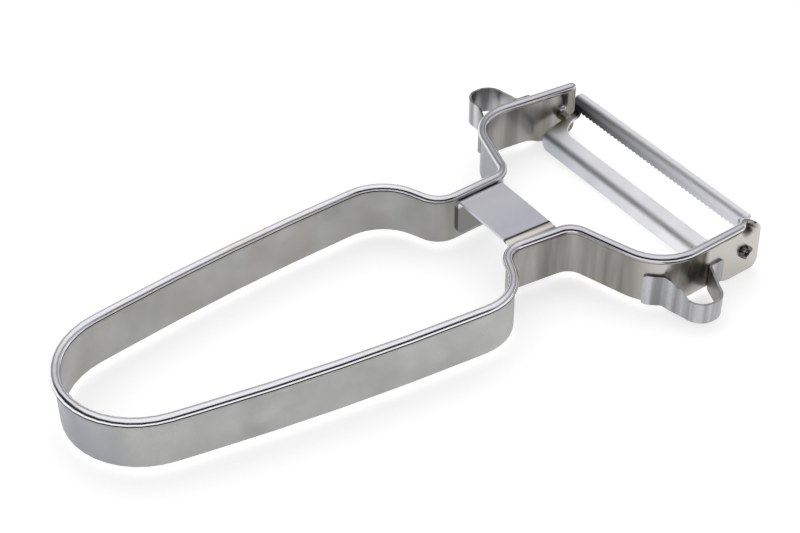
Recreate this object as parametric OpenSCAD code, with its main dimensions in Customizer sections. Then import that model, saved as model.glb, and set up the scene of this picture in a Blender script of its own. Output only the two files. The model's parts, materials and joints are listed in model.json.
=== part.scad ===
// Vegetable peeler bent from one beaded steel strip, with a swivelling serrated blade.
// The handle's end points to -X and the blade to +X. The peeler rests on Z = 0.

/* [Strip] */
// Thickness of the steel strip
strip_t = 0.72; // [0.6:0.02:0.84]
// Height of the strip from its lower edge to the top of the bead
strip_h = 12; // [11.4:0.1:13]
// Diameter of the bead formed along the strip's top edge
bead_d = 2.15; // [1.9:0.05:2.3]

/* [Handle] */
// Half width of the handle where its round end meets its sides
handle_end_half = 14.2; // [13:0.1:15.5]
// Distance from the handle's end to the middle of its bowed side
handle_mid_x = 47.4; // [44:0.2:51]
// Half width of the handle at the middle of its side
handle_mid_half = 22.2; // [21:0.1:23]
// Distance from the handle's end to its front corner
handle_front_x = 86.3; // [83:0.1:89]
// Half width of the handle at its front corner
handle_front_half = 24.4; // [23.5:0.1:26]
// Bend radius of the handle's front corner
front_corner_r = 11.5; // [10:0.1:12.5]
// How far the handle's front stands forward on the right
front_skew = 1.8; // [0:0.1:2.4]

/* [Neck] */
// Length of the handle's front, from its corner forward to the start of the neck
front_l = 5.9; // [5.5:0.1:7]
// Half width of the neck on the handle's side
neck_start_half = 10.4; // [10:0.1:11.5]
// Bend radius where the neck meets the handle
neck_in_r = 5.5; // [4.5:0.1:6.2]
// Length of the neck
neck_l = 18.5; // [18:0.1:20]
// Half width of the neck on the blade's side
neck_end_half = 11.75; // [11:0.05:12.5]
// Bend radius where the neck meets the head
neck_out_r = 4.4; // [3.8:0.1:5.2]

/* [Head] */
// Distance from the neck forward to the shoulder's corner
shoulder_l = 7; // [6.5:0.1:8]
// How far the shoulder's corner stands outside the end of the arm
shoulder_out = 1.9; // [1.2:0.1:3]
// Bend radius of the shoulder
shoulder_r = 10.8; // [9.5:0.1:11.6]
// Length of the head, from the shoulder's corner to the ends of the arms
head_l = 27.6; // [26.8:0.1:29.3]
// How far the left shoulder stands back
shoulder_skew = 0.8; // [0:0.1:1.2]
// How much longer the right arm is
arm_skew = 0.8; // [0:0.1:1.2]
// Half width of the head at the ends of the arms
arm_end_half = 31.3; // [31:0.1:32.2]
// How far the end of each arm widens below the strip's lower edge
tip_drop = 1.6; // [1:0.1:2]
// Length of the widened end of each arm
tip_l = 7.8; // [7:0.1:8.6]
// Length over which the arm widens
tip_slope_l = 6.6; // [5:0.1:8]
// Radius of the lower corner of each arm's end
tip_corner_r = 2; // [1:0.1:2.5]

/* [Pivot and stop] */
// Distance of the pivot from the ends of the arms
pivot_back = 3.8; // [3.5:0.1:4.4]
// Height of the pivot above the strip's lower edge
pivot_up = 4.3; // [4.2:0.05:4.6]
// Diameter of the pivot hole in each arm
pivot_hole_d = 2.4; // [2:0.05:2.8]
// Running clearance round each pivot tab
pivot_gap = 0.05; // [0.03:0.01:0.08]
// Distance of the stop dimple from the end of its arm
stop_back = 4; // [3.8:0.1:4.4]
// Distance of the stop dimple below the top of the strip
stop_down = 1.7; // [1.5:0.1:1.9]
// Radius over which the dimple is pressed in
stop_r = 2.7; // [2.4:0.05:2.9]
// How far the strip and its bead are pushed inwards at the dimple
stop_depth = 1.8; // [1.4:0.05:1.9]

/* [Neck bridge] */
// Thickness of the bridge plate
bridge_t = 0.7; // [0.5:0.05:0.9]
// Length of the bridge along the neck
bridge_l = 11.8; // [11:0.1:12.6]
// Distance of the bridge from the start of the neck
bridge_from = 4.4; // [4:0.1:4.8]
// Depth of the bridge's flat top below the top of the strip
bridge_down = 1.5; // [1.2:0.1:1.8]
// Outer bend radius between the bridge's top and its left flange, and its right flange
bridge_bend_r = [1.4, 3.2]; // [1.4:0.1:4]
// Distance of the flanges' lower edges above the strip's lower edge
bridge_low = 1.3; // [1:0.1:2]
// Radius of the flanges' lower corners
bridge_corner_r = 1.4; // [0.8:0.1:2]

/* [Blade] */
// Thickness of the blade's sheet
blade_t = 0.65; // [0.55:0.05:0.75]
// Side play between each end of the blade and its arm
blade_play = 2; // [1.8:0.05:2.2]
// Tilt of the blade's flat against the rest plane, in degrees
flat_tilt = 17.1; // [15:0.1:18.5]
// Distance from the pivot back to the guide's lip
guide_back = 6.5; // [6:0.1:7]
// Depth of the guide's lip below the pivot
guide_down = 5.8; // [5:0.1:5.8]
// Bend radius of the guide's lip
guide_r = 1.9; // [1:0.05:2.1]
// Distance from the pivot forward to the cutting bar
bar_front = 2.6; // [2.5:0.05:3]
// Height of the cutting bar's bend above the pivot
bar_up = 5.4; // [5:0.1:5.6]
// Bend radius of the cutting bar
bar_r = 1; // [0.8:0.05:1.1]
// Length of the hood folded forward along the top of the cutting bar
hood_l = 1.33; // [1.2:0.02:1.4]
// Upward slope of the hood, in degrees
hood_tilt = 20; // [12:1:28]
// Radius of the blade's outer corners
blade_corner_r = 1.7; // [1:0.1:2.2]

/* [Slot and teeth] */
// Distance from the pivot back to the slot's edge, along the flat
slot_back = 3.3; // [3:0.05:3.6]
// Width of the web left at each end of the slot
web_w = 1.8; // [1.6:0.1:2.6]
// Radius of the slot's corners on the guide's side
slot_corner_r = 4.4; // [3:0.1:5]
// Height of the cutting edge above the pivot
edge_up = 1.7; // [1.5:0.05:2]
// Slope of the ground bevel behind the edge, in degrees
bevel = 38; // [20:1:45]
// Distance from tooth to tooth
tooth_pitch = 1.3; // [1:0.05:2]
// Depth of the notches between the teeth
tooth_depth = 0.4; // [0.2:0.05:0.6]

/* [Pivot tabs] */
// Wall left in the rolled pivot tabs
tab_wall = 0.5; // [0.4:0.05:0.6]
// How far each tab reaches out of its arm
tab_out = 0.9; // [0.6:0.1:1.2]
// Width of the open seam along each rolled tab
seam_w = 0.35; // [0.2:0.05:0.5]
// Direction of the seam round the tab, in degrees
seam_turn = -35; // [-90:5:0]

/* [Eye removers] */
// Thickness of the eye removers' sheet
clip_t = 0.55; // [0.45:0.05:0.65]
// How far the tips of the eye removers stand out from the shoulder's corner
clip_out = 8.8; // [7.8:0.1:9.8]
// Directions from the shoulder's centre, in degrees, where the low one's foot starts and its leg leaves
low_angles = [142.5, 127]; // [124:0.5:146]
// The same directions of the high one, in degrees
high_angles = [142.5, 116]; // [114:0.5:146]
// Lean of the leg on the handle's side of the low one and of the high one, in degrees
clip_lean = [8, 1]; // [0:0.5:11]
// Distances from the shoulder's corner to both sides of the low one's tip and to its root on the arm
low_plan = [3.16, 9.6, 13.2]; // [3:0.02:14]
// The same of the high one
high_plan = [3.7, 11, 12.8]; // [3:0.02:14]
// Bend radius of the tips
clip_tip_r = 3.7; // [3.2:0.05:3.9]
// Length over which the low one's legs change from their feet's height to the tip's, and the high one's
clip_flare_l = [4.5, 1.6]; // [1:0.1:5]
// Length of the foot on the arm
clip_foot_l = 4; // [3:0.1:4.6]
// Bend radius of the roots
clip_root_r = 1.2; // [0.8:0.05:1.4]
// Radius of the feet's corners
clip_corner_r = 0.8; // [0.4:0.1:1.2]
// Lower and upper edge of the low eye remover's shoulder foot, above the strip's lower edge
low_foot = [-0.5, 7]; // [-1:0.1:9]
// Lower and upper edge of the low eye remover's tip
low_tip = [0, 4.8]; // [-1:0.1:9]
// Lower and upper edge of the low eye remover's arm foot
low_root = [-0.2, 5.7]; // [-1:0.1:9]
// Lower and upper edge of the high eye remover's shoulder foot
high_foot = [4.4, 9.8]; // [2:0.1:9.8]
// Lower and upper edge of the high eye remover's tip
high_tip = [5.3, 11.6]; // [2:0.1:12]
// Lower and upper edge of the high eye remover's arm foot
high_root = [5.3, 11.4]; // [2:0.1:12]

/* [Hidden] */
$fn = 48;

// Cuts run past the faces that they go through by this much
over = 1;
// Largest turn between two sections of a bend, and fewest sections of a bend
bend_step = 9;
bend_least = 4;
// Sides of the bead's section, steps of the curves on the arms' ends, and distance of the sections there
bead_sides = 10;
curve_steps = 6;
arm_step = 0.8;

bead_r = bead_d / 2;
// Places along the peeler, from the handle's end, and half widths
neck_start_x = handle_front_x + front_l;
neck_end_x = neck_start_x + neck_l;
shoulder_x = neck_end_x + shoulder_l;
arm_end_x = shoulder_x + head_l;
shoulder_half = arm_end_half + shoulder_out;
clip_half = shoulder_half + clip_out;
// Height of the strip's lower edge and of the bead's centre above the rest plane
strip_z = tip_drop;
bead_z = strip_z + strip_h - bead_r;
// Middle of the overall length, which is the origin's place along X
middle_x = (arm_end_x + arm_skew - bead_r) / 2;

// Plan of the strip's left half, from the middle of the handle's end to the end of the arm
plan = half_plan(0, shoulder_x - shoulder_skew, arm_end_x);
// Plan of its right half, drawn on the left
right_plan = half_plan(front_skew, shoulder_x, arm_end_x + arm_skew);
plans = [plan, right_plan];
end_r = handle_end_half / tan(abs(turn(plan, 1)) / 2);
front_leg = front_corner_r * tan(abs(turn(plan, 3)) / 2);
// Share of the free length of the handle's side that its bow takes up
bow_share = 0.92;
bow_leg = bow_share * min(norm(plan[2] - plan[1]) - handle_end_half, norm(plan[3] - plan[2]) - front_leg);
bow_r = bow_leg / tan(abs(turn(plan, 2)) / 2);
plan_r = [0, end_r, bow_r, front_corner_r, neck_in_r, neck_out_r, shoulder_r, 0];

// The straight arm, and the double curve of its lower edge
arm_turn = heading(plan[6], plan[7]);
slope_from = tip_l + tip_slope_l;
slope_r = (pow(tip_slope_l, 2) + pow(tip_drop, 2)) / (4 * tip_drop);

pivot_x = arm_end_x - pivot_back;
pivot_z = strip_z + pivot_up;
arm_y = arm_end_half - pivot_back * tan(arm_turn);
arm_side = strip_t / 2 / cos(arm_turn);
stop_z = strip_z + strip_h - stop_down;
// Heights at which the strip's section has points, so that the dimple is round
stop_levels = [for (share = [1, 0.75, 0.5, 0.25]) stop_z - share * stop_r];

bridge_x = neck_start_x + bridge_from;
bridge_z = strip_z + strip_h - bridge_down;

blade_half = arm_y - arm_side - blade_play;
slot_half = blade_half - web_w;
tab_r = pivot_hole_d / 2 - pivot_gap;
tab_end = arm_y + arm_side + tab_out;
bar_back = bar_front - blade_t / 2;
hood_end = [bar_front, bar_up] + polar(hood_l, hood_tilt);
teeth = floor(2 * slot_half / tooth_pitch);

function half_plan(front, shoulder, arm_end) = [
    [0, 0],
    [0, handle_end_half],
    [handle_mid_x, handle_mid_half],
    [handle_front_x + front, handle_front_half],
    [neck_start_x + front, neck_start_half],
    [neck_end_x, neck_end_half],
    [shoulder, shoulder_half],
    [arm_end, arm_end_half]
];
function heading(a, b) = atan2(b.y - a.y, b.x - a.x);
function wrap(a) = a > 180 ? a - 360 : a < -180 ? a + 360 : a;
function polar(r, a) = r * [cos(a), sin(a)];
// Turn of a path at its corner i, positive to the left
function turn(path, i) = wrap(heading(path[i], path[i + 1]) - heading(path[i - 1], path[i]));
// Length that the bend at corner i takes from each of its two straights
function leg(path, radii, i) = radii[i] * tan(abs(turn(path, i)) / 2);
function bend_centre(path, radii, i) =
    let (start = heading(path[i - 1], path[i]))
    path[i] - polar(leg(path, radii, i), start) + sign(turn(path, i)) * polar(radii[i], start + 90);
// Stations along a path with bent corners, each with its place and its heading
function bend_stations(path, radii, i) =
    let (
        angle = turn(path, i),
        centre = bend_centre(path, radii, i),
        steps = max(bend_least, ceil(abs(angle) / bend_step))
    )
    [for (k = [0 : steps])
        let (a = heading(path[i - 1], path[i]) + angle * k / steps)
        [centre - sign(angle) * polar(radii[i], a + 90), a]];
function stations(path, radii) =
    [for (i = [1 : len(path) - 2]) each bend_stations(path, radii, i)];
// Outline of a sheet that follows a path with bent corners
function ribbon(path, radii, thickness) =
    let (
        last = len(path) - 1,
        line = concat(
            [[path[0], heading(path[0], path[1])]],
            stations(path, radii),
            [[path[last], heading(path[last - 1], path[last])]]
        ),
        half = thickness / 2
    )
    concat(
        [for (k = [0 : len(line) - 1]) line[k][0] + polar(half, line[k][1] + 90)],
        [for (k = [len(line) - 1 : -1 : 0]) line[k][0] - polar(half, line[k][1] + 90)]
    );
// Where the line through p with heading a meets the line through q with heading b
function meet(p, a, q, b) =
    let (d = polar(1, a), e = polar(1, b), w = q - p)
    p + d * (w.x * e.y - w.y * e.x) / (d.x * e.y - d.y * e.x);

// Lower edge of the strip at the distance u from the arm's end: a double curve, then a round corner
function low(u) =
    u > slope_from ? strip_z :
    u > tip_l + tip_slope_l / 2 ? strip_z - slope_r + sqrt(pow(slope_r, 2) - pow(slope_from - u, 2)) :
    u > tip_l ? slope_r - sqrt(pow(slope_r, 2) - pow(u - tip_l, 2)) :
    u > tip_corner_r ? 0 :
    tip_corner_r - sqrt(max(0, pow(tip_corner_r, 2) - pow(tip_corner_r - u, 2)));
// Radius of the bead, which ends in a ball
function bead_at(u) =
    u > bead_r ? bead_r : max(strip_t / 2, sqrt(max(0, pow(bead_r, 2) - pow(bead_r - u, 2))));
// How far the dimple pushes the strip inwards at the distance u from the arm's end and the height z
function push(u, z) =
    let (away = min(1, norm([u - stop_back, z - stop_z]) / stop_r))
    stop_depth * (1 + cos(180 * away)) / 2;
// Section of the beaded strip, outer side first. Its X points outwards.
function section(u, dimple) =
    let (
        r = bead_at(u),
        half = strip_t / 2,
        from = asin(half / r) - 90,
        outer = concat([low(u)], stop_levels)
    )
    [for (p = concat(
            [for (z = outer) [half, z]],
            [for (k = [0 : bead_sides]) [0, bead_z] + polar(r, from + (180 - 2 * from) * k / bead_sides)],
            [for (i = [len(outer) - 1 : -1 : 0]) [-half, outer[i]]]
        ))
        [dimple ? p.x - push(u, p.y) : p.x, p.y]];
// Distances from the arm's end at which it has a section
function arm_stops() =
    let (steps = ceil((slope_from - tip_corner_r) / arm_step))
    concat(
        [for (k = [0 : steps]) slope_from + (tip_corner_r - slope_from) * k / steps],
        [for (k = [1 : curve_steps]) tip_corner_r * (1 - sin(90 * k / curve_steps))]
    );
// Stations of one half of the strip, each with its distance from the arm's end once it is near it
function half_stations(path) =
    let (end = path[7], a = heading(path[6], end))
    concat(
        [for (s = stations(path, plan_r)) [s[0], s[1], norm(end - s[0]) + slope_from]],
        [for (u = arm_stops()) [end - polar(u, a), a, u]]
    );

// A rectangle from its lower left corner, with its lower two corners or all four rounded
module rounded(size, r, all_four) {
    translate([0, r])
        square([size.x, size.y - (all_four ? 2 : 1) * r]);
    translate([r, 0])
        square([size.x - 2 * r, size.y]);
    for (x = [r, size.x - r], y = all_four ? [r, size.y - r] : [r])
        translate([x, y])
            circle(r);
}

// Stands an outline drawn in X and Z upright and gives it a thickness along Y
module upright(from, to) {
    translate([0, to, 0])
        rotate([90, 0, 0])
            linear_extrude(to - from)
                children();
}

// Joins a row of sections, each a closed ring of points, into one solid. A ring starts at one lower
// corner, ends at the other and has as many points on one side as on the other, and one at its top.
module loft(rings) {
    count = len(rings[0]);
    last = len(rings) - 1;
    lid = concat(
        [for (j = [0 : (count - 3) / 2]) [j, j + 1, count - 1 - j]],
        [for (j = [1 : (count - 3) / 2]) [j, count - 1 - j, count - j]]
    );
    polyhedron(
        points = [for (ring = rings) each ring],
        faces = concat(
            lid,
            [for (k = [0 : last - 1], j = [0 : count - 1])
                let (a = k * count + j, b = k * count + (j + 1) % count)
                each [[a, a + count, b + count], [a, b + count, b]]],
            [for (f = lid) [for (j = [2 : -1 : 0]) last * count + f[j]]]
        )
    );
}

// The strip runs in one piece from the end of one arm round the handle to the other. Only its right
// arm has a dimple, which stops the blade's swing.
module frame_band() {
    left = [for (s = half_stations(plan)) concat(s, [false])];
    half = half_stations(right_plan);
    right = [for (i = [len(half) - 1 : -1 : 1])
        let (s = half[i])
        [[s[0].x, -s[0].y], 180 - s[1], s[2], true]];
    color([0.66, 0.66, 0.66])
        translate([-middle_x, 0, 0])
            difference() {
                loft([for (s = concat(right, left))
                    [for (p = section(s[2], s[3]))
                        let (q = s[0] + polar(p.x, s[1] + 90))
                        [q.x, q.y, p.y]]]);
                translate([pivot_x, 0, pivot_z])
                    rotate([90, 0, 0])
                        cylinder(h = 2 * (arm_y + strip_h), d = pivot_hole_d, center = true);
            }
}

// Section of one flange, its bend and half of the top plate. X is zero at the strip's middle plane.
module bridge_section(bend_r) {
    bend_x = -strip_t / 2 - bend_r;
    bend_z = bridge_z - bend_r;
    translate([-strip_t / 2 - bridge_t, strip_z + bridge_low])
        square([bridge_t, bend_z - strip_z - bridge_low]);
    translate([bend_x - neck_end_half, bridge_z - bridge_t])
        square([neck_end_half, bridge_t]);
    translate([bend_x, bend_z])
        intersection() {
            difference() {
                circle(bend_r);
                circle(bend_r - bridge_t);
            }
            square(bend_r);
        }
}

// The bridge ties the two sides of the neck together. Its flanges are welded inside the strip.
module neck_bridge() {
    color([0.72, 0.72, 0.76])
        translate([-middle_x, 0, 0])
            for (side = [0, 1])
                mirror([0, side, 0])
                    intersection() {
                        translate(plans[side][4])
                            rotate(heading(plans[side][4], plans[side][5]))
                                rotate([90, 0, 90])
                                    linear_extrude(bridge_from + bridge_l + bridge_t)
                                        bridge_section(bridge_bend_r[side]);
                        translate([bridge_x, 0, strip_z + bridge_low])
                            upright(0, neck_end_half)
                                rounded([bridge_l, strip_h], bridge_corner_r, false);
                    }
}

// The bent sheet of the blade, from the guide's lip over the flat and the cutting bar to the hood
module blade_sheet() {
    path = [
        [-guide_back, -guide_down],
        [-guide_back, -guide_back * tan(flat_tilt)],
        [bar_front, bar_front * tan(flat_tilt)],
        [bar_front, bar_up],
        hood_end
    ];
    height = hood_end.y + blade_t + guide_down;
    intersection() {
        upright(-blade_half, blade_half)
            polygon(ribbon(path, [0, guide_r, bar_r, bar_r, 0], blade_t));
        translate([-2 * guide_back, -blade_half, -guide_down])
            rotate([90, 0, 90])
                linear_extrude(4 * guide_back)
                    rounded([2 * blade_half, height], blade_corner_r, true);
    }
}

// The slot between guide and edge, cut square to the blade's flat
module slot() {
    slot_l = slot_back + bar_front + blade_t;
    rotate([0, -flat_tilt, 0])
        translate([-slot_back, -slot_half, -bar_front])
            linear_extrude(bar_front + edge_up * cos(flat_tilt) - bar_back * sin(flat_tilt))
                intersection() {
                    rounded([slot_l + slot_corner_r, 2 * slot_half], slot_corner_r, true);
                    square([slot_l, 2 * slot_half]);
                }
}

// The bevel ground on the front of the cutting bar, down to the edge on its back face
module bevel_cut() {
    depth = blade_t + over;
    upright(-slot_half, slot_half)
        polygon([
            [bar_back, edge_up],
            [bar_back + depth, edge_up + depth * tan(bevel)],
            [bar_back + depth, 0],
            [bar_back, 0]
        ]);
}

// Pointed notches in the cutting edge, which leave a row of teeth
module tooth_cuts() {
    translate([bar_back - over, -teeth * tooth_pitch / 2, edge_up])
        rotate([90, 0, 90])
            linear_extrude(blade_t + 2 * over)
                polygon(concat(
                    [[0, -tooth_depth]],
                    [for (i = [0 : teeth - 1]) each [[i, 0], [i + 1 / 2, 1]]]
                        * [[tooth_pitch, 0], [0, tooth_depth]],
                    [[teeth * tooth_pitch, 0], [teeth * tooth_pitch, -tooth_depth]]
                ));
}

// A rolled tab at one end of the blade, which turns in the arm's hole
module pivot_tab() {
    root = blade_half - web_w / 2;
    rotate([-90, 0, 0])
        translate([0, 0, root])
            difference() {
                cylinder(h = tab_end - root, r = tab_r);
                translate([0, 0, web_w / 2])
                    cylinder(h = tab_end, r = tab_r - tab_wall);
                rotate(-seam_turn)
                    translate([0, -seam_w / 2, web_w / 2])
                        cube([tab_r + over, seam_w, tab_end]);
            }
}

// The blade is one stamped sheet: guide, flat with its slot, cutting bar with its hood, and two tabs
module swivel_blade() {
    color([0.82, 0.83, 0.86])
        translate([pivot_x - middle_x, 0, pivot_z]) {
            difference() {
                blade_sheet();
                slot();
                bevel_cut();
                tooth_cuts();
            }
            for (side = [0, 1])
                mirror([0, side, 0])
                    pivot_tab();
        }
}

// Outline in Y and Z of one side of an eye remover, whose height changes from its foot to its tip
module clip_side(foot, tip, flare) {
    foot_y = shoulder_half + clip_t;
    tip_y = foot_y + flare;
    polygon([
        [0, foot[0]], [foot_y, foot[0]], [tip_y, tip[0]], [clip_half + over, tip[0]],
        [clip_half + over, tip[1]], [tip_y, tip[1]], [foot_y, foot[1]], [0, foot[1]]
    ]);
}

// The space that one side of an eye remover fills, with its foot's corners rounded
module clip_window(foot, tip, flare, from, to) {
    low = min(foot[0], tip[0]);
    high = max(foot[1], tip[1]);
    intersection() {
        translate([from, 0, 0])
            rotate([90, 0, 90])
                linear_extrude(to - from)
                    clip_side(foot, tip, flare);
        translate([from, 0, low])
            upright(0, clip_half + over)
                rounded([to - from, high - low], clip_corner_r, true);
    }
}

// A looped strip welded outside one arm. Its arm foot stands off the strip's middle by root_off.
module eye_remover(path, around, lean, places, flare, foot, tip, root, root_off) {
    centre = bend_centre(path, plan_r, 6);
    foot_r = shoulder_r + (strip_t + clip_t) / 2;
    foot_turn = (around[0] - around[1]) / 2;
    arm_a = heading(path[6], path[7]);
    tip_a = [path[6].x + places[0], clip_half - clip_t / 2];
    tip_b = [path[6].x + places[1], tip_a.y];
    arm_root = meet(path[7] + polar(root_off + clip_t / 2, arm_a + 90), arm_a, [path[6].x + places[2], 0], 90);
    foot_end = centre + polar(foot_r, around[0]);
    arm_end = arm_root + polar(clip_foot_l, arm_a);
    line = [
        foot_end,
        centre + polar(foot_r / cos(foot_turn), around[0] - foot_turn),
        meet(centre + polar(foot_r, around[1]), around[1] - 90, tip_a, 90 - lean),
        tip_a,
        tip_b,
        arm_root,
        arm_end
    ];
    radii = [0, foot_r, clip_root_r, clip_tip_r, clip_tip_r, clip_root_r, 0];
    low = min(foot[0], tip[0], root[0]);
    high = max(foot[1], tip[1], root[1]);
    middle = (tip_a.x + tip_b.x) / 2;
    translate([0, 0, strip_z])
        intersection() {
            translate([0, 0, low])
                linear_extrude(high - low)
                    polygon(ribbon(line, radii, clip_t));
            union() {
                clip_window(foot, tip, flare, foot_end.x - clip_t / 2, middle + clip_tip_r / 2);
                clip_window(root, tip, flare, middle - clip_tip_r / 2, arm_end.x);
            }
        }
}

// High eye remover, on the left arm seen from the handle
module eye_remover_left() {
    color([0.66, 0.67, 0.7])
        translate([-middle_x, 0, 0])
            eye_remover(
                plan, high_angles, clip_lean[1], high_plan, clip_flare_l[1],
                high_foot, high_tip, high_root, bead_r
            );
}

// Low eye remover, on the right arm
module eye_remover_right() {
    color([0.66, 0.67, 0.7])
        translate([-middle_x, 0, 0])
            mirror([0, 1, 0])
                eye_remover(
                    right_plan, low_angles, clip_lean[0], low_plan, clip_flare_l[0],
                    low_foot, low_tip, low_root, strip_t / 2
                );
}

frame_band();
neck_bridge();
swivel_blade();
eye_remover_left();
eye_remover_right();
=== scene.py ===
"""Looks of a vegetable peeler bent from beaded strip steel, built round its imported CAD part."""
import json
import math

import bmesh
import bpy
from mathutils import Matrix, Vector


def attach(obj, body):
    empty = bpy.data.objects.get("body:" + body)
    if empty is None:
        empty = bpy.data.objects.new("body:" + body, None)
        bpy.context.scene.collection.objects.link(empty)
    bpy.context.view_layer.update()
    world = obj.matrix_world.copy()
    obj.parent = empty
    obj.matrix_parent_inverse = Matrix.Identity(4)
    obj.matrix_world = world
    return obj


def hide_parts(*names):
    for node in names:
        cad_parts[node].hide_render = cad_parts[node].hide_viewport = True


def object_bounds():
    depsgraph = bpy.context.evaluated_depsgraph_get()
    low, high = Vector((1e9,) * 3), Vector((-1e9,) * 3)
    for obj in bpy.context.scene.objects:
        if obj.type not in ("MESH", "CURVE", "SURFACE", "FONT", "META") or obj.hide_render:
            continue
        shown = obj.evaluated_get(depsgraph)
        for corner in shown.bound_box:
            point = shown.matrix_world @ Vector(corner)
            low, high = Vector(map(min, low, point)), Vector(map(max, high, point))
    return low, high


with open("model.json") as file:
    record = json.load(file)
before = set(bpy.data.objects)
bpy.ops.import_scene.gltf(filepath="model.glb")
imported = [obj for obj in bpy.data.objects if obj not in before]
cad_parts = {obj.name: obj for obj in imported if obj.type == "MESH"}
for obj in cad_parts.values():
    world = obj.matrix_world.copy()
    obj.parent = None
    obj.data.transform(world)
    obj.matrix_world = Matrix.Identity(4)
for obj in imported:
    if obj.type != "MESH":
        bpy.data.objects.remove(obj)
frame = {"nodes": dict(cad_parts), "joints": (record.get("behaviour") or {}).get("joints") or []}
cad_box = [list(corner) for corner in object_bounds()]
scene = bpy.context.scene
scene.view_settings.view_transform = "Standard"


# Camera. It looks down on the peeler from the handle's side, with the blade at the upper right.
# Its place, tilt and lens were worked out together with the peeler's size.
MM = 0.001
CAMERA_PLACE = Vector((-144.17, -224.28, 223.65)) * MM
CAMERA_BACK = Vector((-0.42818, -0.65414, 0.62349)).normalized()
CAMERA_ROLL = math.radians(-0.33)
CAMERA_LENS = 74.82
CAMERA_NEAR = 0.01

level = Vector((0, 0, 1)).cross(CAMERA_BACK).normalized()
upward = CAMERA_BACK.cross(level)
camera_right = math.cos(CAMERA_ROLL) * level + math.sin(CAMERA_ROLL) * upward
camera_up = CAMERA_BACK.cross(camera_right)
camera_data = bpy.data.cameras.new("camera")
camera_data.lens = CAMERA_LENS
camera_data.clip_start = CAMERA_NEAR
camera = bpy.data.objects.new("camera", camera_data)
camera.matrix_world = Matrix.Translation(CAMERA_PLACE) @ Matrix(
    (camera_right, camera_up, CAMERA_BACK)
).transposed().to_4x4()
scene.collection.objects.link(camera)
scene.camera = camera


# Studio. A white table runs out into a white room, with one wide soft lamp above and behind.
# The table is a matt white laminate that keeps the peeler's soft shadow.
TABLE_SIZE = 3.0
TABLE_WHITE = "#d8d8d8"
# Glow that lifts the lit table to white for the camera and in reflections
TABLE_LIFT = 0.58
# The room is plain white to look at, and this share of that brightness falls on matt surfaces
ROOM_LIGHT = 0.62
LAMP_SIZE = 1.6
LAMP_POWER = 6.0
LAMP_PLACE = Vector((0.35, 0.75, 1.0))


def to_linear(hex_colour):
    """An sRGB hex colour as the linear colour that a shader's socket takes."""
    parts = [int(hex_colour[i:i + 2], 16) / 255 for i in (1, 3, 5)]
    return [c / 12.92 if c <= 0.04045 else ((c + 0.055) / 1.055) ** 2.4 for c in parts] + [1.0]


def add_node(tree, kind, settings=None, values=None, links=None):
    """Adds one node with its settings, its sockets' values and the links into its sockets."""
    node = tree.nodes.new(kind)
    for name, value in (settings or {}).items():
        setattr(node, name, value)
    for name, value in (values or {}).items():
        node.inputs[name].default_value = value
    for name, output in (links or {}).items():
        tree.links.new(output, node.inputs[name])
    return node


def as_object(shape, name, material):
    """The finished bmesh as an object of the scene, in its material."""
    mesh = bpy.data.meshes.new(name)
    shape.to_mesh(mesh)
    shape.free()
    mesh.materials.append(material)
    made = bpy.data.objects.new(name, mesh)
    scene.collection.objects.link(made)
    return made


world = bpy.data.worlds.new("studio")
world.use_nodes = True
scene.world = world
tree = world.node_tree
tree.nodes.clear()
path = add_node(tree, "ShaderNodeLightPath")
seen = add_node(tree, "ShaderNodeMath", {"operation": "SUBTRACT"}, {0: 1.0},
                {1: path.outputs["Is Diffuse Ray"]})
strength = add_node(tree, "ShaderNodeMapRange", values={"To Min": ROOM_LIGHT, "To Max": 1.0},
                    links={"Value": seen.outputs[0]})
room = add_node(tree, "ShaderNodeBackground", values={"Color": to_linear("#ffffff")},
                links={"Strength": strength.outputs["Result"]})
add_node(tree, "ShaderNodeOutputWorld", links={"Surface": room.outputs[0]})

lamp_data = bpy.data.lights.new("soft_lamp", "AREA")
lamp_data.size = LAMP_SIZE
lamp_data.energy = LAMP_POWER
lamp = bpy.data.objects.new("soft_lamp", lamp_data)
lamp.location = LAMP_PLACE
lamp.rotation_euler = LAMP_PLACE.to_track_quat("Z", "Y").to_euler()
lamp.visible_glossy = False
scene.collection.objects.link(lamp)

laminate = bpy.data.materials.new("white_laminate")
laminate.use_nodes = True
tree = laminate.node_tree
tree.nodes.clear()
path = add_node(tree, "ShaderNodeLightPath")
seen = add_node(tree, "ShaderNodeMath", {"operation": "MAXIMUM"},
                links={0: path.outputs["Is Camera Ray"], 1: path.outputs["Is Glossy Ray"]})
lift = add_node(tree, "ShaderNodeMath", {"operation": "MULTIPLY"}, {1: TABLE_LIFT},
                {0: seen.outputs[0]})
matt = add_node(tree, "ShaderNodeBsdfDiffuse", values={"Color": to_linear(TABLE_WHITE)})
glow = add_node(tree, "ShaderNodeEmission", links={"Strength": lift.outputs[0]})
both = add_node(tree, "ShaderNodeAddShader", links={0: matt.outputs[0], 1: glow.outputs[0]})
add_node(tree, "ShaderNodeOutputMaterial", links={"Surface": both.outputs[0]})

shape = bmesh.new()
bmesh.ops.create_grid(shape, x_segments=1, y_segments=1, size=TABLE_SIZE)
table = as_object(shape, "table", laminate)


# Studio cloth. Bright steel on a white table has no outline of its own, so a ring of cloth hangs
# round it, grey below and paler upwards, which only the steel's reflections see. Beyond the
# handle's end and near side the lower cloth is nearly black, which draws dark lines in the bead.
CLOTH_RADIUS = 1.2
CLOTH_FROM_DEG = 9.0
CLOTH_TO_DEG = 68.0
CLOTH_SIDES = 64
# Height up the cloth, from 0 to 1, and its brightness there
CLOTH_TONES = (
    (0.0, 1.0), (0.023, 0.34), (0.16, 0.32), (0.21, 0.42),
    (0.27, 0.62), (0.37, 0.80), (0.45, 0.93), (1.0, 1.0),
)
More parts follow.
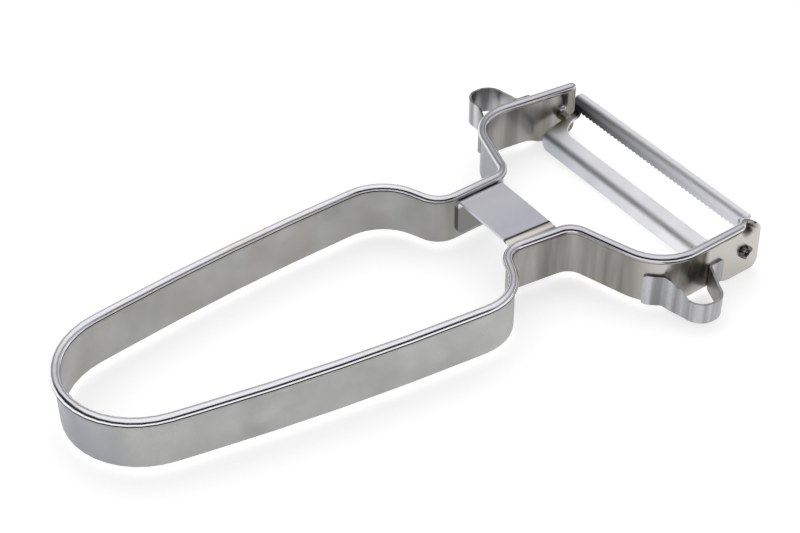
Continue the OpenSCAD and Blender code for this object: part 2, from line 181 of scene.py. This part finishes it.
# The black part keeps this share of the brightness. It fades in towards its side and out upwards
BLACK_SHARE = 0.06
BLACK_TOWARDS = (-0.848, -0.530, 0.0)
BLACK_FROM = -0.20
BLACK_TO = 0.08
BLACK_TOP = 1.10
BLACK_CLEAR = 1.65

cloth_low = CLOTH_RADIUS * math.tan(math.radians(CLOTH_FROM_DEG))
cloth_high = CLOTH_RADIUS * math.tan(math.radians(CLOTH_TO_DEG))
cloth = bpy.data.materials.new("graded_studio_cloth")
cloth.use_nodes = True
tree = cloth.node_tree
tree.nodes.clear()
place = add_node(tree, "ShaderNodeTexCoord")
axes = add_node(tree, "ShaderNodeSeparateXYZ", links={0: place.outputs["Object"]})
height = add_node(tree, "ShaderNodeMapRange", values={"From Min": cloth_low, "From Max": cloth_high},
                  links={"Value": axes.outputs["Z"]})
tones = add_node(tree, "ShaderNodeValToRGB", links={0: height.outputs["Result"]})
while len(tones.color_ramp.elements) < len(CLOTH_TONES):
    tones.color_ramp.elements.new(1.0)
for stop, (up, bright) in zip(tones.color_ramp.elements, CLOTH_TONES):
    stop.position = up
    stop.color = (bright, bright, bright, 1.0)
nearer = add_node(tree, "ShaderNodeVectorMath", {"operation": "DOT_PRODUCT"}, {1: BLACK_TOWARDS},
                  {0: place.outputs["Object"]})
sideways_light = add_node(tree, "ShaderNodeMapRange",
                          values={"From Min": BLACK_TO, "From Max": BLACK_FROM, "To Min": BLACK_SHARE},
                          links={"Value": nearer.outputs["Value"]})
upper_light = add_node(tree, "ShaderNodeMapRange",
                       values={"From Min": BLACK_TOP, "From Max": BLACK_CLEAR},
                       links={"Value": axes.outputs["Z"]})
light = add_node(tree, "ShaderNodeMath", {"operation": "MAXIMUM"},
                 links={0: sideways_light.outputs["Result"], 1: upper_light.outputs["Result"]})
glow = add_node(tree, "ShaderNodeEmission",
                links={"Color": tones.outputs["Color"], "Strength": light.outputs[0]})
add_node(tree, "ShaderNodeOutputMaterial", links={"Surface": glow.outputs[0]})

shape = bmesh.new()
bmesh.ops.create_circle(shape, segments=CLOTH_SIDES, radius=CLOTH_RADIUS)
bmesh.ops.translate(shape, vec=(0, 0, cloth_low), verts=shape.verts)
hung = bmesh.ops.extrude_edge_only(shape, edges=shape.edges)["geom"]
bmesh.ops.translate(shape, vec=(0, 0, cloth_high - cloth_low),
                    verts=[part for part in hung if isinstance(part, bmesh.types.BMVert)])
ring = as_object(shape, "cloth", cloth)
for rays in ("camera", "diffuse", "transmission", "volume_scatter", "shadow"):
    setattr(ring, "visible_" + rays, False)


# Frame strip. One strip of stainless steel about 0.7 mm thick, rolled with a bead along its upper
# edge and bent cold into handle, neck, shoulders and arms. Rolling leaves fine lines along it.
WELD = 0.002 * MM
# Clouds are given as cloudy takes them: size in mm, low and high noise, and squeeze. The grain's
# size is each steel's own, and smudges keep between two shares of the steel's roughness
CLOUD_DETAIL = 3.0
GRAIN_NOISE = (0.3, 0.7)
SMUDGES = (7.0, 0.35, 0.65)
SMUDGE_SHARES = (0.9, 1.15)
# The fine lines run round the upright axis, and a quarter turn stretches reflections across them
QUARTER_TURN = 0.25


def smooth_copy(node, name, material, sharp_deg):
    """A merged copy of a CAD node's mesh, shaded smooth except at edges sharper than sharp_deg."""
    shape = bmesh.new()
    shape.from_mesh(frame["nodes"][node].data)
    bmesh.ops.remove_doubles(shape, verts=shape.verts, dist=WELD)
    bmesh.ops.dissolve_degenerate(shape, dist=WELD, edges=shape.edges)
    for face in shape.faces:
        face.smooth = True
        face.material_index = 0
    for edge in shape.edges:
        if len(edge.link_faces) == 2:
            edge.smooth = edge.calc_face_angle() < math.radians(sharp_deg)
    return as_object(shape, name, material)


def shade_between(tree, factor, low_colour, high_colour):
    """A colour that runs from one to the other as the factor goes from 0 to 1."""
    mix = add_node(tree, "ShaderNodeMix", {"data_type": "RGBA"}, links={"Factor": factor})
    for socket, colour in ((mix.inputs[6], low_colour), (mix.inputs[7], high_colour)):
        if isinstance(colour, str):
            socket.default_value = to_linear(colour)
        else:
            tree.links.new(colour, socket)
    return mix.outputs[2]


def blend(tree, factor, low, high):
    """A number that runs from the link low to the number high as the factor goes from 0 to 1."""
    return add_node(tree, "ShaderNodeMapRange", values={"To Max": high},
                    links={"Value": factor, "To Min": low}).outputs["Result"]


def where_all(tree, *factors):
    """1 where every factor is 1, and 0 where any of them is 0."""
    product = factors[0]
    for factor in factors[1:]:
        product = add_node(tree, "ShaderNodeMath", {"operation": "MULTIPLY"},
                           links={0: product, 1: factor}).outputs[0]
    return product


def object_axis(tree, place, axis, low_mm, high_mm):
    """0 to 1 along one axis of the piece, between two places on it."""
    axes = add_node(tree, "ShaderNodeSeparateXYZ", links={0: place.outputs["Object"]})
    return add_node(tree, "ShaderNodeMapRange",
                    values={"From Min": low_mm * MM, "From Max": high_mm * MM},
                    links={"Value": axes.outputs[axis]}).outputs["Result"]


def away_from(tree, place, spot_mm, near_mm, far_mm):
    """0 nearer than near_mm to a spot on the piece, and 1 further than far_mm from it."""
    distance = add_node(tree, "ShaderNodeVectorMath", {"operation": "DISTANCE"},
                        {1: [c * MM for c in spot_mm]}, {0: place.outputs["Object"]})
    return add_node(tree, "ShaderNodeMapRange",
                    values={"From Min": near_mm * MM, "From Max": far_mm * MM},
                    links={"Value": distance.outputs["Value"]}).outputs["Result"]


def facing_in(tree, place, middle_mm, out_mm, in_mm):
    """1 on faces that look back at a middle, and 0 on those that look away from it. It goes by
    the distance from the middle to a face's plane, which is negative where it looks back."""
    from_middle = add_node(tree, "ShaderNodeVectorMath", {"operation": "SUBTRACT"},
                           {1: [c * MM for c in middle_mm]}, {0: place.outputs["Object"]})
    outward = add_node(tree, "ShaderNodeVectorMath", {"operation": "DOT_PRODUCT"},
                       links={0: from_middle.outputs[0], 1: place.outputs["Normal"]})
    return add_node(tree, "ShaderNodeMapRange",
                    values={"From Min": out_mm * MM, "From Max": in_mm * MM},
                    links={"Value": outward.outputs["Value"]}).outputs["Result"]


def cloudy(tree, place, size_mm, low, high, squeeze=1.0):
    """0 to 1 in soft clouds of about size_mm, all 0 below the noise's low and 1 above its high.
    A squeeze under 1 draws the clouds out into upright bands."""
    drawn = add_node(tree, "ShaderNodeMapping", values={"Scale": (1.0, 1.0, squeeze)},
                     links={"Vector": place.outputs["Object"]})
    noise = add_node(tree, "ShaderNodeTexNoise",
                     values={"Scale": 1 / (size_mm * MM), "Detail": CLOUD_DETAIL},
                     links={"Vector": drawn.outputs[0]})
    return add_node(tree, "ShaderNodeMapRange", values={"From Min": low, "From Max": high},
                    links={"Value": noise.outputs["Fac"]}).outputs["Result"]


def sheet_steel(name, dull, bright, roughness, grain_mm, brushed):
    """Bare sheet steel. Its grain, grain_mm across, varies its tone, broad smudges from handling
    vary its gloss, and brushed is how far its fine lines stretch its reflections upright."""
    material = bpy.data.materials.new(name)
    material.use_nodes = True
    tree = material.node_tree
    shader = tree.nodes["Principled BSDF"]
    shader.inputs["Metallic"].default_value = 1.0
    shader.inputs["Anisotropic"].default_value = brushed
    shader.inputs["Anisotropic Rotation"].default_value = QUARTER_TURN
    along = add_node(tree, "ShaderNodeTangent", {"direction_type": "RADIAL", "axis": "Z"})
    tree.links.new(along.outputs[0], shader.inputs["Tangent"])
    place = add_node(tree, "ShaderNodeTexCoord")
    colour = shade_between(tree, cloudy(tree, place, grain_mm, *GRAIN_NOISE), dull, bright)
    least, most = (roughness * share for share in SMUDGE_SHARES)
    gloss = add_node(tree, "ShaderNodeMapRange", values={"To Min": least, "To Max": most},
                     links={"Value": cloudy(tree, place, *SMUDGES)}).outputs["Result"]
    tree.links.new(colour, shader.inputs["Base Color"])
    tree.links.new(gloss, shader.inputs["Roughness"])
    return material, tree, shader, place, colour, gloss


# The handle keeps the dull grey of the rolled strip, with painted shade, darker and warmer, inside
# and a painted cool reflection round its end. The head is smoother, painted darker in upright
# reflection bands, with painted bluish shade outside the left shoulder and a painted highlight on the
# right arm
HANDLE_CLOUDS = (9.0, 0.4, 0.6)
HEAD_REFLECTION_BANDS = (5.0, 0.38, 0.62, 0.1)
HEAD_ROUGHNESS = 0.24
# Where each tone starts and where it is full. The strip's inside looks back at its middle
STRIP_MIDDLE_MM = (0.0, 0.0, 0.0)
INSIDE_MM = (2.0, -2.0)
END_X_MM = (-66.0, -73.4)
HEAD_X_MM = (14.0, 34.0)
LEFT_Y_MM = (8.0, 14.0)
RIGHT_ARM_HIGHLIGHT_Y_MM = (-24.5, -31.5)
HANDLE_SLOPE = (-0.2, -0.6)
strip_steel, tree, shader, place, metal, gloss = sheet_steel(
    "rolled_stainless_strip", "#b5b5b4", "#bfbfbe", roughness=0.38, grain_mm=0.3, brushed=0.75)
inner_side = facing_in(tree, place, STRIP_MIDDLE_MM, *INSIDE_MM)
# Painted shade: the strip's inside is darker and warmer
metal = shade_between(tree, inner_side, metal, "#aeaba8")
metal = shade_between(tree, cloudy(tree, place, *HANDLE_CLOUDS), "#b2b3b1", metal)
# Painted reflection: the handle's end is cooler
metal = shade_between(tree, object_axis(tree, place, "X", *END_X_MM), metal, "#a3a6ae")
head = object_axis(tree, place, "X", *HEAD_X_MM)
# Painted reflections: the head is darker, in upright bands
reflection_banded = shade_between(tree, cloudy(tree, place, *HEAD_REFLECTION_BANDS), "#7b7973", "#a6a4a0")
metal = shade_between(tree, head, metal, reflection_banded)
facing = add_node(tree, "ShaderNodeSeparateXYZ", links={0: place.outputs["Normal"]})
to_handle = add_node(tree, "ShaderNodeMapRange",
                     values={"From Min": HANDLE_SLOPE[0], "From Max": HANDLE_SLOPE[1]},
                     links={"Value": facing.outputs["X"]}).outputs["Result"]
# Painted shade: the left shoulder's outside, facing the handle, is darker and bluer
left_shoulder_shade = where_all(tree, head, to_handle, object_axis(tree, place, "Y", *LEFT_Y_MM))
metal = shade_between(tree, left_shoulder_shade, metal, "#83868e")
# Painted highlight: the right arm is lighter
right_arm_highlight = where_all(tree, head, object_axis(tree, place, "Y", *RIGHT_ARM_HIGHLIGHT_Y_MM))
metal = shade_between(tree, right_arm_highlight, metal, "#c1bdb9")
gloss = blend(tree, head, gloss, HEAD_ROUGHNESS)

# The bead is polished by the rolls that form it, with painted straw-tinted glints here and there,
# and a dark line of painted shade runs along the crease beside it, except inside the head
CREASE_Z_MM = 12.5
CREASE_MM = 0.21
STRAW_GLINT_CLOUDS = (6.0, 0.55, 0.8)
BEAD_ROUGHNESS = 0.13
bead = object_axis(tree, place, "Z", CREASE_Z_MM, CREASE_Z_MM + CREASE_MM)
# Painted glints: a straw tint here and there on the polished bead
polish_and_glints = shade_between(tree, cloudy(tree, place, *STRAW_GLINT_CLOUDS), "#ebebf1", "#e0ddd0")
polish_and_glints = shade_between(tree, head, polish_and_glints, "#d0d0d6")
metal = shade_between(tree, bead, metal, polish_and_glints)
gloss = blend(tree, bead, gloss, BEAD_ROUGHNESS)
above = object_axis(tree, place, "Z", CREASE_Z_MM + CREASE_MM / 2, CREASE_Z_MM + CREASE_MM)
below = object_axis(tree, place, "Z", CREASE_Z_MM - CREASE_MM / 2, CREASE_Z_MM - CREASE_MM)
no_crease_shade = where_all(tree, head, inner_side)
for beside in (above, below):
    no_crease_shade = add_node(tree, "ShaderNodeMath", {"operation": "MAXIMUM"},
                     links={0: no_crease_shade, 1: beside}).outputs[0]
# Painted shade: a dark line along the crease, left out inside the head
metal = shade_between(tree, no_crease_shade, "#1e1c18", metal)

# The stop dimple on the right arm is painted dark inside, as shade in its hollow
DIMPLE_MM = (69.6, -31.2, 11.4)
DIMPLE_REACH_MM = (1.1, 2.5)
metal = shade_between(tree, away_from(tree, place, DIMPLE_MM, *DIMPLE_REACH_MM), "#655f50", metal)

# Painted shade, brown and streaked, on the outside of the right shoulder, within the eye remover
LOOP_SHADE_EDGES_MM = (
    ("X", 46.5, 52.0), ("X", 58.2, 56.8), ("Y", -31.6, -32.0), ("Z", 2.0, 5.5), ("Z", 12.2, 11.2),
)
LOOP_SHADE_STREAKS = (0.9, 0.4, 0.65, 0.3)
# Painted shade under the right eye remover, brown and streaked
loop_shade = where_all(tree, *(object_axis(tree, place, *edge) for edge in LOOP_SHADE_EDGES_MM))
shade_streaks = shade_between(tree, cloudy(tree, place, *LOOP_SHADE_STREAKS), "#55504a", "#7d776d")
metal = shade_between(tree, loop_shade, metal, shade_streaks)
tree.links.new(metal, shader.inputs["Base Color"])
tree.links.new(gloss, shader.inputs["Roughness"])
strip = smooth_copy("frame_band", "frame_strip", strip_steel, sharp_deg=40)

# Past the dimple the press has squeezed the right arm's bead flat, and its upper corner is round.
# The squeeze grows over the millimetre above SQUEEZE_Z_MM
TIP_Y_MM = -28.0
TIP_FROM_MM = 69.0
TIP_END_MM = (73.59, -31.3)
TIP_SLOPE = 0.0669
TIP_KEEP_MM = 7.6
TIP_DROP_MM = 3.0
TIP_ROUNDING = 1.7
SQUEEZE = 0.6
SQUEEZE_FROM = 0.5
SQUEEZE_Z_MM = 11.0
top_mm = cad_box[1][2] / MM
for vert in strip.data.vertices:
    x, y, z = vert.co / MM
    if y > TIP_Y_MM or x < TIP_FROM_MM or z < TIP_KEEP_MM:
        continue
    along = min(1.0, (x - TIP_FROM_MM) / (TIP_END_MM[0] - TIP_FROM_MM))
    share = (z - TIP_KEEP_MM) / (top_mm - TIP_KEEP_MM)
    vert.co.z -= TIP_DROP_MM * along ** TIP_ROUNDING * share * MM
    middle = TIP_END_MM[1] - (TIP_END_MM[0] - x) * TIP_SLOPE
    squeezed = max(0.0, (along - SQUEEZE_FROM) / (1.0 - SQUEEZE_FROM))
    in_bead = min(1.0, max(0.0, z - SQUEEZE_Z_MM))
    vert.co.y = (middle + (y - middle) * (1.0 - SQUEEZE * squeezed * in_bead)) * MM
strip.data.update()
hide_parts("frame_band")
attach(strip, "frame")

# A pip punched through the left arm from outside stands above the pivot on its inner face. Its
# steel is painted light, as a painted highlight
PIP_PLACE = Vector((69.0, 30.85, 7.8)) * MM
PIP_RADIUS = 0.85 * MM
PIP_FLAT = 0.85
PIP_STEPS = (24, 14)
pip_steel = sheet_steel(
    "pressed_stainless_pip", "#cfcfd4", "#dadade", roughness=0.32, grain_mm=0.3, brushed=0.0)[0]
shape = bmesh.new()
bmesh.ops.create_uvsphere(shape, u_segments=PIP_STEPS[0], v_segments=PIP_STEPS[1], radius=PIP_RADIUS)
bmesh.ops.scale(shape, vec=(1, PIP_FLAT, 1), verts=shape.verts)
bmesh.ops.translate(shape, vec=PIP_PLACE, verts=shape.verts)
for face in shape.faces:
    face.smooth = True
pip = as_object(shape, "stop_pip", pip_steel)
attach(pip, "frame")


# Neck bridge. A pressed plate of sheet steel, bent down at both sides and welded inside the neck.
# Its top is painted brightest at the left, as painted light, and the flanges are painted darker, as
# shade.
# The wide right bend has painted dark and bright reflection lines, and the bend itself is burnished.
LIT_LEFT_Y_MM = (-4.0, 5.0)
BEND_REFLECTION_LINES = ((-6.6, -6.9, "#4c4c50"), (-7.25, -7.6, "#d8d6cb"), (-8.5, -9.1, "#77756e"))
BURNISHED_Y_MM = (-6.8, -7.6)
BURNISHED_ROUGHNESS = 0.12
FLANGE_SHADE_Z_MM = (9.6, 10.4)
bridge_steel, tree, shader, place, metal, gloss = sheet_steel(
    "pressed_sheet_steel", "#d6d6e0", "#dedee8", roughness=0.30, grain_mm=0.3, brushed=0.0)
# Painted light: the left part of the top is brighter
metal = shade_between(tree, object_axis(tree, place, "Y", *LIT_LEFT_Y_MM), metal, "#ebebf3")
# Painted reflections: dark and bright lines across the wide right bend
for from_mm, to_mm, tone in BEND_REFLECTION_LINES:
    metal = shade_between(tree, object_axis(tree, place, "Y", from_mm, to_mm), metal, tone)
# Painted shade: the flanges below the top are darker
above_flange_shade = object_axis(tree, place, "Z", *FLANGE_SHADE_Z_MM)
tree.links.new(shade_between(tree, above_flange_shade, "#858584", metal), shader.inputs["Base Color"])
burnished = object_axis(tree, place, "Y", *BURNISHED_Y_MM)
tree.links.new(blend(tree, burnished, gloss, BURNISHED_ROUGHNESS), shader.inputs["Roughness"])
bridge = smooth_copy("neck_bridge", "bridge_plate", bridge_steel, sharp_deg=30)
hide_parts("neck_bridge")
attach(bridge, "frame")


# Swivel blade. One stamped sheet of blade steel: guide, slot, toothed cutting bar and hood. The
# flat is satin and the hood bright. The cutting bar is rougher, and it and the lip are painted darker
# towards their far end, as shade, most in the bar's lower half. The tabs' ends are painted dark, as
# shade.
BLADE_Y_MM = (-28.0, 28.0)
LIP_X_MM = (63.6, 62.6)
BAR_X_MM = (69.5, 71.0)
BAR_Z_MM = (11.5, 10.9)
LOWER_HALF_Z_MM = (9.8, 9.1)
BAR_ROUGHNESS = 0.56
TAB_MM = (30.4, 31.2)
blade_steel, tree, shader, place, metal, gloss = sheet_steel(
    "satin_blade_steel", "#f9f9ff", "#fdfdff", roughness=0.48, grain_mm=0.4, brushed=0.0)
to_far_end = object_axis(tree, place, "Y", *BLADE_Y_MM)
# Painted shade: the lip darkens towards its far end
lip = shade_between(tree, to_far_end, "#fdfdff", "#cbced6")
metal = shade_between(tree, object_axis(tree, place, "X", *LIP_X_MM), metal, lip)
bar = object_axis(tree, place, "X", *BAR_X_MM)
tree.links.new(blend(tree, bar, gloss, BAR_ROUGHNESS), shader.inputs["Roughness"])
# Painted shade: the cutting bar darkens towards its far end, most in its lower half
upper_half = shade_between(tree, to_far_end, "#fafbff", "#8c8d90")
lower_half = shade_between(tree, to_far_end, "#f6f7fb", "#3c3d41")
bar_tone = shade_between(tree, object_axis(tree, place, "Z", *LOWER_HALF_Z_MM), upper_half, lower_half)
below_hood = where_all(tree, bar, object_axis(tree, place, "Z", *BAR_Z_MM))
metal = shade_between(tree, below_hood, metal, bar_tone)
sides = add_node(tree, "ShaderNodeVectorMath", {"operation": "ABSOLUTE"},
                 links={0: place.outputs["Object"]})
sideways = add_node(tree, "ShaderNodeSeparateXYZ", links={0: sides.outputs[0]})
tab = add_node(tree, "ShaderNodeMapRange",
               values={"From Min": TAB_MM[0] * MM, "From Max": TAB_MM[1] * MM},
               links={"Value": sideways.outputs["Y"]})
# Painted shade: the tabs' ends are dark
metal = shade_between(tree, tab.outputs["Result"], metal, "#4a4744")

# Near the far end, where it bends down, a brown painted reflection lies on the blade
BROWN_REFLECTION_MM = (67.0, 29.6, 5.4)
BROWN_REFLECTION_REACH_MM = (0.8, 4.6)
metal = shade_between(tree, away_from(tree, place, BROWN_REFLECTION_MM, *BROWN_REFLECTION_REACH_MM), "#7d7357", metal)
tree.links.new(metal, shader.inputs["Base Color"])
blade = smooth_copy("swivel_blade", "blade", blade_steel, sharp_deg=30)
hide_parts("swivel_blade")
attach(blade, "blade")


# Pivot flares. Outside each arm the rolled end of the blade's tab is split and spread, so that it
# can't slip out of its hole. The torn petals are rough and have darkened.
FLARE_FROM = 31.91 * MM
# Radius and distance outwards of the flare's section, in mm, from the tab's end to its rim
FLARE_SECTION = ((0.85, 0.92), (1.08, 1.0), (1.32, 0.86), (1.5, 0.5), (1.52, 0.2))
FLARE_STEPS = 30
FLARE_SPLIT_EVERY = 6
FLARE_WALL = 0.2 * MM
# The rim's waves: how many, where they start in radians, and their share of its radius
FLARE_WAVES = ((3, 0.6, 0.13), (7, 0.0, 0.078))
FLARE_BEND = 1.2 * MM
pivot = Vector(frame["joints"][0]["pos_m"])
flare_steel = sheet_steel(
    "torn_blade_steel", "#2e2b28", "#a09d9a", roughness=0.30, grain_mm=0.5, brushed=0.0)[0]
for side, name in ((1, "pivot_flare_left"), (-1, "pivot_flare_right")):
    shape = bmesh.new()
    line = [shape.verts.new((radius * MM, side * (FLARE_FROM + out * MM), 0))
            for radius, out in FLARE_SECTION]
    edges = [shape.edges.new(pair) for pair in zip(line, line[1:])]
    bmesh.ops.spin(shape, geom=line + edges, axis=(0, 1, 0), cent=(0, 0, 0), steps=FLARE_STEPS,
                   angle=math.tau, use_merge=True)
    torn = []
    for face in shape.faces:
        middle = face.calc_center_median()
        step = round(math.atan2(middle.z, middle.x) / math.tau * FLARE_STEPS - 0.5)
        if math.hypot(middle.x, middle.z) > FLARE_SECTION[1][0] * MM and step % FLARE_SPLIT_EVERY == 0:
            torn.append(face)
    bmesh.ops.delete(shape, geom=torn, context="FACES")
    for vert in shape.verts:
        turn = math.atan2(vert.co.z, vert.co.x)
        away = math.hypot(vert.co.x, vert.co.z) / (FLARE_SECTION[-1][0] * MM)
        wave = away * sum(share * math.sin(count * turn + start) for count, start, share in FLARE_WAVES)
        vert.co.x *= 1 + wave
        vert.co.z *= 1 + wave
        vert.co.y += side * FLARE_BEND * wave
    bmesh.ops.translate(shape, vec=pivot, verts=shape.verts)
    bmesh.ops.recalc_face_normals(shape, faces=shape.faces)
    bmesh.ops.solidify(shape, geom=shape.faces, thickness=FLARE_WALL)
    for face in shape.faces:
        face.smooth = True
    flare = as_object(shape, name, flare_steel)
    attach(flare, "blade")


# Eye removers. Two looped strips of thin sheet, spot welded outside the shoulders. Their tone has
# painted upright reflection bands, and the inside of the right loop is painted brown, as shade.
LOOP_REFLECTION_BANDS = (3.0, 0.38, 0.6, 0.04)
RIGHT_LOOP_MM = (57.0, -33.6, 0.0)
LOOP_INSIDE_MM = (-0.3, -1.2)
INNER_SHADE_Y_MM = (-31.0, -33.5)
loop_steel, tree, shader, place, metal = sheet_steel(
    "bright_sheet_steel", "#bfbfc1", "#cdcdcf", roughness=0.30, grain_mm=0.4, brushed=0.6)[:5]
# Painted reflections: upright bands in the loops' tone
metal = shade_between(tree, cloudy(tree, place, *LOOP_REFLECTION_BANDS), "#87888a", metal)
# Painted shade: the right loop's inside is brown
right_loop_inner_shade = where_all(tree, facing_in(tree, place, RIGHT_LOOP_MM, *LOOP_INSIDE_MM),
                  object_axis(tree, place, "Y", *INNER_SHADE_Y_MM))
metal = shade_between(tree, right_loop_inner_shade, metal, "#625e57")
tree.links.new(metal, shader.inputs["Base Color"])
for node, name in (("eye_remover_left", "eye_loop_left"), ("eye_remover_right", "eye_loop_right")):
    loop = smooth_copy(node, name, loop_steel, sharp_deg=30)
    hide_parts(node)
    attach(loop, "frame")
